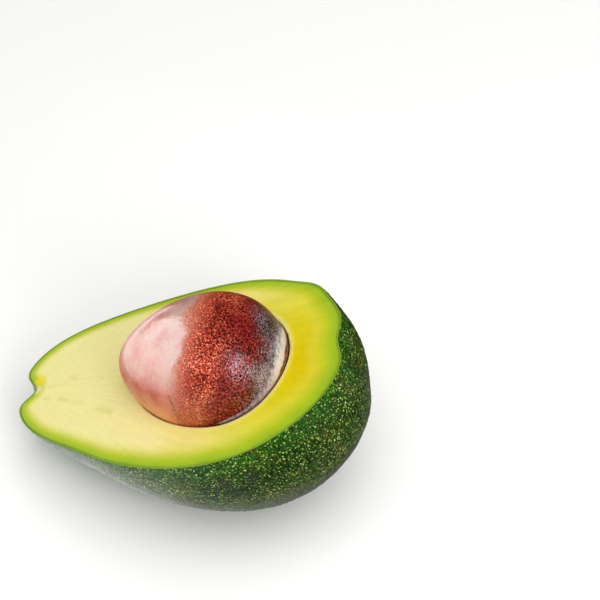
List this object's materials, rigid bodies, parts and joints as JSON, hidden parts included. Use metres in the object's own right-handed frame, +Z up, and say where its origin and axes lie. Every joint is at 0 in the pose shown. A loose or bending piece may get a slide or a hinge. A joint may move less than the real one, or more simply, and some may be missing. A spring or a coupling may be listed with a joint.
{
  "type": "avocado half",
  "caption": "Avocado half with its stone, cut face up: green pebbled skin, yellow flesh, red-brown stone standing proud, resting on a small flat spot.",
  "frame": {"origin": "on the surface it rests on, under the middle of its box", "axes": "+X from the neck end to the blossom end, +Z up, +Y across the cut"},
  "size_m": [0.1036, 0.067, 0.0631],
  "materials": {
    "peel": "waxy pebbled dark green peel with pale green dots",
    "flesh": "moist buttery cut flesh, yellow to cream, green towards the peel",
    "husk": "polished red-brown seed husk with dark pits",
    "coat": "thin papery seed coat, cream with a brown edge"
  },
  "bodies": {
    "root": {"skin": "peel", "flesh": "flesh", "stone": "husk", "seed_coat": "coat"}
  },
  "joints": []
}
